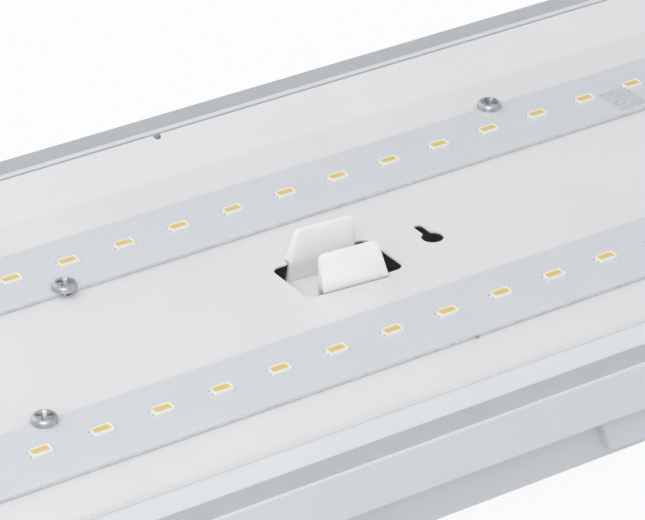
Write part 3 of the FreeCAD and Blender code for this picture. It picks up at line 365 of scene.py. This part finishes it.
def makePhosphorMaterial(look):
    material, tree, shader = newMaterial("phosphor")
    chip = addNode(tree, "ShaderNodeAttribute", attribute_name="chip").outputs["Fac"]
    speck = noise(tree, objectPlace(tree), look["speckle"])
    drift = mathNode(tree, "MULTIPLY", mathNode(tree, "SUBTRACT", speck, 0.5), look["speckShare"])
    depth = remap(tree, mathNode(tree, "ADD", chip, drift), 0.0, 1.0)
    link(tree, mixColour(tree, depth, look["rim"], look["core"]), shader.inputs["Base Color"])
    link(tree, remap(tree, speck, *look["speckSpan"], *look["rough"]), shader.inputs["Roughness"])
    bumpFrom(tree, shader, speck, look["relief"])
    return material


materials["phosphor"] = makePhosphorMaterial(phosphorLook)


# Metals: cloudy film over fine scratches
metalLooks = {
    "zinc_steel": {"film": (0.48, 0.51, 0.53), "bright": (0.65, 0.665, 0.68), "cloud": 1.6, "scratch": 0.12,
                   "rough": (0.32, 0.48), "relief": 0.004},
    "tag_brass": {"film": (0.66, 0.60, 0.42), "bright": (0.80, 0.74, 0.56), "cloud": 2.2, "scratch": 0.15,
                  "rough": (0.22, 0.40), "relief": 0.004},
    "solder": {"film": (0.36, 0.37, 0.38), "bright": (0.60, 0.61, 0.62), "cloud": 0.4, "scratch": 0.08,
               "rough": (0.25, 0.45), "relief": 0.006},
}
metalFinish = {"cloudDetail": 3.0, "cloudRough": 0.6, "cloudSpan": (0.35, 0.65), "cloudShare": 0.6,
               "scratchDetail": 2.0, "scratchRough": 0.7, "scratchStretch": (1.0, 0.12, 1.0),
               "scratchTurn": 35.0, "roughSpan": (0.3, 0.7)}


def makeMetalMaterial(name, look, finish):
    material, tree, shader = newMaterial(name)
    place = objectPlace(tree)
    cloud = noise(tree, place, look["cloud"], finish["cloudDetail"], finish["cloudRough"])
    stretch = addNode(tree, "ShaderNodeMapping")
    stretch.inputs["Scale"].default_value = finish["scratchStretch"]
    stretch.inputs["Rotation"].default_value = (0.0, 0.0, math.radians(finish["scratchTurn"]))
    link(tree, place, stretch.inputs["Vector"])
    drawn = stretch.outputs["Vector"]
    scratch = noise(tree, drawn, look["scratch"], finish["scratchDetail"], finish["scratchRough"])
    colour = mixColour(tree, remap(tree, cloud, *finish["cloudSpan"]), look["film"], look["bright"])
    link(tree, colour, shader.inputs["Base Color"])
    shader.inputs["Metallic"].default_value = 1.0
    dull = blendOf(tree, cloud, scratch, finish["cloudShare"])
    link(tree, remap(tree, dull, *finish["roughSpan"], *look["rough"]), shader.inputs["Roughness"])
    bumpFrom(tree, shader, scratch, look["relief"])
    return material


for slot, look in metalLooks.items():
    materials[slot] = makeMetalMaterial(slot, look, metalFinish)


# Foam of the rim seal: open pores in a soft skin
foamLook = {"skin": (0.515, 0.543, 0.572), "pore": (0.465, 0.490, 0.516), "cell": 0.40,
            "wallSpan": (0.12, 0.45), "mottle": 9.0, "mottleDetail": 3.0, "mottleSpan": (0.3, 0.7),
            "mottleLow": 0.6, "rough": (0.95, 0.8), "relief": 0.03}


def makeFoamMaterial(look):
    material, tree, shader = newMaterial("gasket_foam")
    place = objectPlace(tree)
    cells = addNode(tree, "ShaderNodeTexVoronoi", feature="F1")
    link(tree, place, cells.inputs["Vector"])
    cells.inputs["Scale"].default_value = 1.0 / (look["cell"] * mm)
    wall = remap(tree, cells.outputs["Distance"], *look["wallSpan"])
    mottle = noise(tree, place, look["mottle"], look["mottleDetail"])
    patch = remap(tree, mottle, *look["mottleSpan"], look["mottleLow"], 1.0)
    colour = mixColour(tree, mathNode(tree, "MULTIPLY", wall, patch), look["pore"], look["skin"])
    link(tree, colour, shader.inputs["Base Color"])
    link(tree, remap(tree, wall, 0.0, 1.0, *look["rough"]), shader.inputs["Roughness"])
    bumpFrom(tree, shader, wall, look["relief"])
    return material


materials["gasket_foam"] = makeFoamMaterial(foamLook)


# Wire insulation, with a second colour winding round the earth wire
wireLooks = {
    "wire_brown": {"base": (0.17, 0.075, 0.035), "worn": (0.21, 0.10, 0.05)},
    "wire_blue": {"base": (0.05, 0.13, 0.46), "worn": (0.08, 0.17, 0.52)},
    "wire_green_yellow": {"base": (0.06, 0.30, 0.07), "worn": (0.09, 0.35, 0.10),
                          "stripe": (0.72, 0.60, 0.04)},
    "wire_red": {"base": (0.50, 0.03, 0.025), "worn": (0.56, 0.05, 0.04)},
    "wire_black": {"base": (0.022, 0.022, 0.023), "worn": (0.04, 0.04, 0.042)},
}
wireFinish = {"grain": 0.2, "mottle": 9.0, "rough": (0.34, 0.48), "relief": 0.006,
              "stripeTurn": 90.0, "stripeEdge": 0.1}  # stripeTurn: radians a metre


def stripeMask(tree, finish):
    facing = splitAxes(tree, surfaceNormal(tree))
    turn = mathNode(tree, "ARCTAN2", facing["Z"], facing["Y"])
    along = mathNode(tree, "MULTIPLY", splitAxes(tree, objectPlace(tree))["X"], finish["stripeTurn"])
    wave = mathNode(tree, "SINE", mathNode(tree, "ADD", turn, along))
    return remap(tree, wave, -finish["stripeEdge"], finish["stripeEdge"])


def makeWireMaterial(name, look, finish):
    material, tree, shader = newMaterial(name)
    skin = addSkin(tree, finish)
    colour = mixColour(tree, skin["Mottle"], look["base"], look["worn"])
    if "stripe" in look:
        colour = mixColour(tree, stripeMask(tree, finish), colour, look["stripe"])
    link(tree, colour, shader.inputs["Base Color"])
    link(tree, skin["Rough"], shader.inputs["Roughness"])
    bumpFrom(tree, shader, skin["Height"], finish["relief"])
    return material


for slot, look in wireLooks.items():
    materials[slot] = makeWireMaterial(slot, look, wireFinish)
print("materials made:", len(materials))

for part in frame["record"]["subparts"]:
    mesh = nodes[part["node"]].data
    mesh.materials.clear()
    mesh.materials.append(materials[part["material_slot"]])


# Mesh helpers

def addPiece(name, shape, material, smooth=35.0):  # edges sharper than smooth stay crisp
    mesh = bpy.data.meshes.new(name)
    bmesh.ops.recalc_face_normals(shape, faces=shape.faces)
    shape.to_mesh(mesh)
    shape.free()
    mesh.polygons.foreach_set("use_smooth", [True] * len(mesh.polygons))
    mesh.set_sharp_from_angle(angle=math.radians(smooth))
    mesh.materials.append(material)
    piece = bpy.data.objects.new(name, mesh)
    bpy.context.scene.collection.objects.link(piece)
    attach(piece, "root")
    return piece


def joinLoops(shape, lower, upper):  # a band of faces between two loops of equal count
    for index in range(len(lower)):
        after = (index + 1) % len(lower)
        shape.faces.new((lower[index], lower[after], upper[after], upper[index]))


def stackRings(shape, rings, move):  # a skin through the rings, closed at both ends
    loops = [[shape.verts.new(move @ Vector(point)) for point in ring] for ring in rings]
    for lower, upper in zip(loops, loops[1:]):
        joinLoops(shape, lower, upper)
    shape.faces.new(reversed(loops[0]))
    shape.faces.new(loops[-1])
    return loops


def roundedRing(halfX, halfY, radius, level, steps=4, cut=0.0):  # cut: straight corner, far left
    ring = []
    for turn, (signX, signY) in enumerate(cornerSigns):
        straight = cut and turn == 2
        reach = cut if straight else radius
        centre = (signX * (halfX - reach), signY * (halfY - reach))
        for step in range(steps + 1):
            angle = math.radians(90.0 * (turn - 1 + step / steps))
            if straight:
                point = (centre[0] - reach * step / steps, centre[1] + reach * (1 - step / steps))
            else:
                point = (centre[0] + reach * math.cos(angle), centre[1] + reach * math.sin(angle))
            ring.append((point[0] * mm, point[1] * mm, level * mm))
    return ring


# LEDs: moulded cup with a sloped window, phosphor with a meniscus, four soldered tabs
ledShape = {
    "halfX": 2.8, "halfY": 1.5, "height": 0.7, "draft": 0.04, "edge": 0.07, "bend": 0.3, "cut": 0.7,
    "corner": 0.12, "windowX": 2.4, "windowY": 1.2, "windowCorner": 0.42, "windowDepth": 0.3, "slope": 0.16,
    "sharper": 0.1, "fill": 0.055, "fillGap": 0.06, "fillDepth": 0.2, "fillFoot": 0.07, "fillCorner": 0.1,
    "sink": 0.05,
    "meniscus": ((0.0, 0.0), (0.06, 0.45), (0.18, 0.8), (0.4, 1.0), (0.7, 1.0)),  # inset, share of the sink
    "tabX": 0.42, "tabY": 0.5, "tabHeight": 0.16, "tabRow": (0.95, -0.8), "tabRoot": 0.02, "tabTaper": 0.25,
    "tabRidge": 0.6,
    "fillet": ((0.0, 1.0), (0.3, 0.55), (0.65, 0.25), (1.0, 0.1)),  # share out, share of the height
}


def cupRings(led):
    top = led["height"]
    edge = led["edge"]
    drawn = led["draft"] + edge
    bend = led["bend"] * edge
    corner = led["windowCorner"]
    outside = ((0.0, 0.0), (led["draft"], top - edge), (drawn - bend, top - bend), (drawn, top))
    window = ((-edge / 2, top, corner), (bend, top - edge / 2, corner),
              (led["slope"], top - led["windowDepth"], corner - led["sharper"]))
    rings = []
    for inset, level in outside:
        halfX, halfY = led["halfX"] - inset, led["halfY"] - inset
        rings.append(roundedRing(halfX, halfY, led["corner"], level, cut=led["cut"]))
    for inset, level, radius in window:
        rings.append(roundedRing(led["windowX"] - inset, led["windowY"] - inset, radius, level))
    return rings


def phosphorRings(led):
    top = led["height"] - led["fill"]
    x, y = led["windowX"] - led["fillGap"], led["windowY"] - led["fillGap"]
    foot = led["slope"] - led["fillFoot"]
    corner = led["windowCorner"] - led["sharper"]
    rings = [roundedRing(x - foot, y - foot, corner, top - led["fillDepth"])]
    for inset, drop in led["meniscus"]:
        corner = max(led["windowCorner"] - inset / 2, led["fillCorner"])
        rings.append(roundedRing(x - inset, y - inset, corner, top - led["sink"] * drop))
    return rings


def tabRings(x, y, led):  # solder fillet, steep at the cup and thin at its toe
    rings = []
    side = 1 if x > 0 else -1
    for share, height in led["fillet"]:
        far = (x + side * led["tabX"] * share) * mm
        half = led["tabY"] / 2 * (1.0 - led["tabTaper"] * share)
        ridge = led["tabRidge"] * half
        level = led["tabHeight"] * height * mm
        rings.append([(far, (y - half) * mm, 0.0), (far, (y + half) * mm, 0.0),
                      (far, (y + ridge) * mm, level), (far, (y - ridge) * mm, level)])
    return rings


def buildLeds(row):
    side = row.rsplit("_", 1)[1]
    cups = bmesh.new()
    fills = bmesh.new()
    chip = fills.verts.layers.float.new("chip")
    tabs = bmesh.new()
    for spot in ledPlaces[row]:
        move = Matrix.Translation(spot)
        stackRings(cups, cupRings(ledShape), move)
        loops = stackRings(fills, phosphorRings(ledShape), move)
        for depth, loop in enumerate(loops):
            for vert in loop:
                vert[chip] = max(0.0, (depth - 1) / (len(loops) - 2))
        for end in (1, -1):
            for y in ledShape["tabRow"]:
                stackRings(tabs, tabRings(end * (ledShape["halfX"] - ledShape["tabRoot"]), y, ledShape), move)
    cupPiece = addPiece(f"led_cups_{side}", cups, materials["led_case"])
    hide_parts(f"led_packages_{side}")
    fillPiece = addPiece(f"led_fills_{side}", fills, materials["phosphor"], 60.0)
    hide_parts(f"led_phosphor_{side}")
    addPiece(f"led_solder_{side}", tabs, materials["solder"], 60.0)


for row in ledRows:
    buildLeds(row)
print("LEDs made")


# Rough stub of a snapped panel tab on the near edge of the near board
stubShape = {"x": 91.0, "length": 1.2, "proud": 0.35, "low": 0.1, "high": 1.0, "root": 0.05,
             "torn": ((0.0, 0.3), (0.2, 1.0), (0.45, 0.65), (0.75, 0.9), (1.0, 0.3))}  # share along, out
stubLook = {"dark": (0.34, 0.34, 0.35), "light": (0.46, 0.46, 0.47), "grain": 0.1, "mottle": 0.4,
            "rough": (0.7, 0.9), "relief": 0.02}


def buildStub(stub):
    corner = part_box("led_board_near")[0]
    shape = bmesh.new()
    rings = []
    for share, reach in stub["torn"]:
        x = (stub["x"] + stub["length"] * (share - 0.5)) * mm
        back, front = corner.y + stub["root"] * mm, corner.y - stub["proud"] * reach * mm
        low, high = corner.z + stub["low"] * mm, corner.z + stub["high"] * reach * mm
        rings.append([(x, back, low), (x, front, low), (x, front, (low + high) / 2), (x, back, high)])
    stackRings(shape, rings, Matrix())
    addPiece("board_tab_stub", shape, skinMaterial("torn_laminate", stubLook), 30.0)


buildStub(stubShape)
print("tab stub made")


# Rim: foam poured into the channel and lapping over the outer wall, and the lip's long outer slope.
# A section is a closed line of (inset from the foam's outer edge, rise over the foam's top).
rimShape = {
    "foamWall": ((7.3, -7.9), (0.0, -7.9), (0.0, 0.12), (-1.8, 0.12)),
    "foamTop": ((-1.88, 0.24), (-1.6, 0.34), (-0.6, 0.37), (1.5, 0.32), (3.5, 0.22), (5.2, 0.12),
                (7.25, 0.05)),
    "uneven": 0.08, "swirl": 9.0,
    "lipSlope": ((9.2, 2.0), (4.8, -0.4), (4.8, 0.12), (5.05, 0.34), (6.8, 1.34), (8.55, 2.30), (8.95, 2.44),
                 (9.15, 2.40)),
    "bendSteps": 10, "endSteps": 28, "sideSteps": 160, "smooth": 50.0, "reading": 0.01,
}


def foamCorner(rim):  # highest corner of the foam solid and its corner radius
    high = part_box("rim_gasket")[1]
    edge = high.x - rim["reading"] * mm
    straight = [vert.co.y for vert in nodes["rim_gasket"].data.vertices if vert.co.x > edge]
    return high, high.y - max(straight)


def rimRing(rim, inset, rise):
    high, corner = foamCorner(rim)
    level = high.z + rise * mm
    centres = [Vector((x * (high.x - corner), y * (high.y - corner), level)) for x, y in cornerSigns]
    reach = corner - inset * mm
    ring = []
    for turn, centre in enumerate(centres):
        for step in range(rim["bendSteps"]):
            angle = math.radians(90.0 * (turn - 1 + step / rim["bendSteps"]))
            ring.append(centre + reach * Vector((math.cos(angle), math.sin(angle), 0.0)))
        angle = math.radians(90.0 * turn)
        side = reach * Vector((math.cos(angle), math.sin(angle), 0.0))
        after = centres[(turn + 1) % len(centres)]
        count = rim["sideSteps"] if turn % 2 else rim["endSteps"]
        ring.extend((centre + side).lerp(after + side, step / count) for step in range(count))
    return ring


def sweepRim(rings):  # a closed skin round the whole rim
    shape = bmesh.new()
    loops = [[shape.verts.new(point) for point in ring] for ring in rings]
    for lower, upper in zip(loops, loops[1:] + loops[:1]):
        joinLoops(shape, lower, upper)
    return shape


def buildRim(rim):
    rings = [rimRing(rim, inset, rise) for inset, rise in rim["foamWall"]]
    for inset, rise in rim["foamTop"]:
        ring = rimRing(rim, inset, rise)
        for point in ring:
            spot = Vector((point.x, point.y, inset * mm)) / (rim["swirl"] * mm)
            point.z -= rim["uneven"] * mm * (0.5 + 0.5 * mathutils.noise.noise(spot))
        rings.append(ring)
    foam = addPiece("rim_seal", sweepRim(rings), materials["gasket_foam"], rim["smooth"])
    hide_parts("rim_gasket")
    rings = [rimRing(rim, inset, rise) for inset, rise in rim["lipSlope"]]
    addPiece("lip_slope", sweepRim(rings), materials["housing_plastic"], rim["smooth"])


buildRim(rimShape)
print("rim made")


# Pan-head screws: domed head, tapered cross recess, rolled thread
screwShape = {
    "sides": 40, "head": 3.3, "headHeight": 1.9, "rimBreak": 0.08, "shoulder": 0.6, "dome": 1.0,
    "domeSteps": 7, "crown": 0.12, "crownRings": (0.6, 0.25), "weld": 0.003,
    "shank": 1.75, "root": 1.35, "threadPitch": 1.25, "threadSteps": 6, "threadSharp": 2.6, "runOut": 0.2,
    "tip": 0.9, "tipRadius": 0.25, "tipShare": 0.35,
    "recessSpan": 2.2, "recessWidth": 0.6, "wingShare": 0.65, "recessDepth": 1.1, "recessTaper": 0.55,
    "pitShare": 0.25, "pitDepth": 0.25, "mouthDepth": 0.15, "mouthShare": 1.02, "mouthOver": 0.5,
}
screwSeeds = {"board_screws": 1261, "driver_screws": 1, "earth_screw": 2, "terminal_fixing_screw": 3,
              "clip_screws": 4}


def turnedRing(radius, level, sides):
    ring = []
    for index in range(sides):
        angle = 2 * math.pi * index / sides
        ring.append((radius * math.cos(angle) * mm, radius * math.sin(angle) * mm, level * mm))
    return ring


def threadRing(screw, depth, taper):
    ring = []
    for index in range(screw["sides"]):
        angle = 2 * math.pi * index / screw["sides"]
        wave = (depth / screw["threadPitch"] + angle / (2 * math.pi)) % 1.0
        crest = max(0.0, 1.0 - screw["threadSharp"] * abs(wave - 0.5))
        reach = taper * (screw["root"] + (screw["shank"] - screw["root"]) * crest)
        ring.append((reach * math.cos(angle) * mm, reach * math.sin(angle) * mm, -depth * mm))
    return ring


def shankRings(screw, length):
    rings = [turnedRing(screw["tipRadius"], -length, screw["sides"])]
    threaded = length - 2 * screw["runOut"]
    steps = int(threaded / (screw["threadPitch"] / screw["threadSteps"]))
    for step in range(steps + 1):
        depth = length - screw["runOut"] - step * threaded / steps
        taper = min(1.0, screw["tipShare"] + (length - depth) / screw["tip"])
        rings.append(threadRing(screw, depth, taper))
    return rings


def headRings(screw):
    head, shoulder, dome = screw["head"], screw["shoulder"], screw["dome"]
    flat = head - dome
    rise = screw["headHeight"] - shoulder - screw["crown"]
    rim = screw["rimBreak"]
    profile = [(screw["root"], 0.0), (head - rim, 0.0), (head, rim), (head, shoulder)]
    for step in range(1, screw["domeSteps"] + 1):
        angle = math.radians(90.0 * step / screw["domeSteps"])
        profile.append((flat + dome * math.cos(angle), shoulder + rise * math.sin(angle)))
    for share in screw["crownRings"]:
        profile.append((flat * share, screw["headHeight"] - screw["crown"] * share ** 2))
    return [turnedRing(radius, level, screw["sides"]) for radius, level in profile]


def crossRing(screw, share, level):
    span = screw["recessSpan"] * share
    width = screw["recessWidth"] * (1.0 - screw["wingShare"] + screw["wingShare"] * share)
    quarter = ((span, -width), (span, width), (width, width))
    ring = []
    for turn in range(4):
        swing = Matrix.Rotation(math.radians(90.0 * turn), 3, "Z")
        for x, y in quarter:
            ring.append(tuple(swing @ Vector((x * mm, y * mm, level * mm))))
    return ring


def cutRecess(body, screw):  # cross recess cut out of one finished screw
    cutter = bmesh.new()
    top = screw["headHeight"]
    floor = top - screw["recessDepth"]
    levels = ((screw["pitShare"], floor - screw["pitDepth"]), (screw["recessTaper"], floor),
              (1.0, top - screw["mouthDepth"]), (screw["mouthShare"], top + screw["mouthOver"]))
    stackRings(cutter, [crossRing(screw, share, level) for share, level in levels], Matrix())
    pair = []
    for name, shape in (("screwBlank", body), ("recessTool", cutter)):
        bmesh.ops.recalc_face_normals(shape, faces=shape.faces)
        mesh = bpy.data.meshes.new(name)
        shape.to_mesh(mesh)
        shape.free()
        pair.append(bpy.data.objects.new(name, mesh))
        bpy.context.scene.collection.objects.link(pair[-1])
    blank, tool = pair
    cut = blank.modifiers.new("recess", "BOOLEAN")
    cut.operation = "DIFFERENCE"
    cut.solver = "EXACT"
    cut.object = tool
    bpy.context.view_layer.update()
    finished = bpy.data.meshes.new_from_object(blank.evaluated_get(bpy.context.evaluated_depsgraph_get()))
    for spare in pair:
        bpy.data.objects.remove(spare)
    return finished


def buildScrews(node, seed, screw):
    chance = random.Random(seed)
    shape = bmesh.new()
    for low, high in solidBoxes(node):
        seat = high.z - screw["headHeight"] * mm
        blank = bmesh.new()
        stackRings(blank, shankRings(screw, (seat - low.z) / mm) + headRings(screw), Matrix())
        finished = cutRecess(blank, screw)
        spot = Matrix.Translation(((low.x + high.x) / 2, (low.y + high.y) / 2, seat))
        finished.transform(spot @ Matrix.Rotation(chance.uniform(0.0, math.pi / 2), 4, "Z"))
        shape.from_mesh(finished)
        bpy.data.meshes.remove(finished)
    weld = screw["weld"] * mm  # the cut leaves slivers along its edges
    bmesh.ops.remove_doubles(shape, verts=shape.verts, dist=weld)
    bmesh.ops.dissolve_degenerate(shape, edges=shape.edges, dist=weld)
    bmesh.ops.triangulate(shape, faces=shape.faces, quad_method="BEAUTY", ngon_method="BEAUTY")
    piece = addPiece(node.replace("screw", "pan_screw"), shape, materials["zinc_steel"], 40.0)
    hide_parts(node)


for node, seed in screwSeeds.items():
    buildScrews(node, seed, screwShape)
print("screws made")


# Stage, light and camera; reach, size, near and far are in metres
stageSet = {"reach": 12.0, "drop": 0.2, "colour": (0.70, 0.70, 0.70), "white": 0.94}
lampSet = {
    "key": {"spot": (-500.0, -615.0, 770.0), "size": 1.0, "level": 0.365},
    "far": {"spot": (-250.0, 1400.0, 700.0), "size": 2.8, "level": 0.33},
}
skySet = {"bright": 0.705, "dark": 0.12, "towards": (0.48, 0.725, 0.495), "inner": 10.0, "outer": 24.0}
cameraSet = {"spot": (-337.2, -627.6, 472.4), "look": (0.4796, 0.7248, -0.4947), "lens": 190.3,
             "sensor": 36.0, "near": 0.01, "far": 100.0}


def seenRays(tree):  # camera, mirror and glass rays
    path = addNode(tree, "ShaderNodeLightPath").outputs
    seen = mathNode(tree, "MAXIMUM", path["Is Camera Ray"], path["Is Glossy Ray"])
    return mathNode(tree, "MAXIMUM", seen, path["Is Transmission Ray"])


def makeFloorMaterial(stage):  # white to the eye, with the shadow left in it
    material = bpy.data.materials.new("floor_white")
    material.use_nodes = True
    tree = material.node_tree
    tree.nodes.remove(tree.nodes["Principled BSDF"])
    paint = addNode(tree, "ShaderNodeBsdfDiffuse")
    paint.inputs["Color"].default_value = (*stage["colour"], 1.0)
    glow = addNode(tree, "ShaderNodeEmission")
    mix = addNode(tree, "ShaderNodeMixShader")
    link(tree, mathNode(tree, "MULTIPLY", seenRays(tree), stage["white"]), mix.inputs[0])
    link(tree, paint.outputs[0], mix.inputs[1])
    link(tree, glow.outputs[0], mix.inputs[2])
    link(tree, mix.outputs[0], tree.nodes["Material Output"].inputs["Surface"])
    return material


def buildFloor(stage):
    shape = bmesh.new()
    reach = stage["reach"] / 2
    shape.faces.new([shape.verts.new((x * reach, y * reach, -stage["drop"] * mm)) for x, y in cornerSigns])
    mesh = bpy.data.meshes.new("floor")
    shape.to_mesh(mesh)
    shape.free()
    mesh.materials.append(makeFloorMaterial(stage))
    floor = bpy.data.objects.new("floor", mesh)
    bpy.context.scene.collection.objects.link(floor)


def buildSky(sky):  # even white, darker in the patch that the metal mirrors
    world = bpy.data.worlds.new("studio")
    world.use_nodes = True
    tree = world.node_tree
    ray = addNode(tree, "ShaderNodeTexCoord").outputs["Generated"]
    lean = addNode(tree, "ShaderNodeVectorMath", operation="DOT_PRODUCT")
    link(tree, ray, lean.inputs[0])
    lean.inputs[1].default_value = Vector(sky["towards"]).normalized()
    inner, outer = math.cos(math.radians(sky["inner"])), math.cos(math.radians(sky["outer"]))
    level = remap(tree, lean.outputs["Value"], outer, inner, sky["bright"], sky["dark"])
    path = addNode(tree, "ShaderNodeLightPath").outputs
    level = mathNode(tree, "MAXIMUM", level, path["Is Camera Ray"])
    link(tree, level, tree.nodes["Background"].inputs["Strength"])
    tree.nodes["Background"].inputs["Color"].default_value = (1.0, 1.0, 1.0, 1.0)
    bpy.context.scene.world = world


def addLamp(name, lamp):  # level: how white the lamp alone makes a white face turned to it
    light = bpy.data.lights.new(name, "AREA")
    light.shape = "DISK"
    light.size = lamp["size"]
    spot = Vector(lamp["spot"]) * mm
    light.energy = lamp["level"] * math.pi ** 2 * spot.length_squared
    piece = bpy.data.objects.new(name, light)
    piece.location = spot
    piece.rotation_euler = (-spot).to_track_quat("-Z", "Y").to_euler()
    bpy.context.scene.collection.objects.link(piece)


def buildCamera(camera):
    lens = bpy.data.cameras.new("camera")
    lens.sensor_fit = "HORIZONTAL"
    lens.sensor_width = camera["sensor"]
    lens.lens = camera["lens"]
    lens.clip_start = camera["near"]
    lens.clip_end = camera["far"]
    view = bpy.data.objects.new("camera", lens)
    view.location = Vector(camera["spot"]) * mm
    view.rotation_euler = Vector(camera["look"]).to_track_quat("-Z", "Y").to_euler()
    bpy.context.scene.collection.objects.link(view)
    bpy.context.scene.camera = view


buildFloor(stageSet)
buildSky(skySet)
for name, lamp in lampSet.items():
    addLamp(f"{name}_lamp", lamp)
buildCamera(cameraSet)
bpy.context.scene.view_settings.view_transform = "Standard"
print("stage, light and camera set")
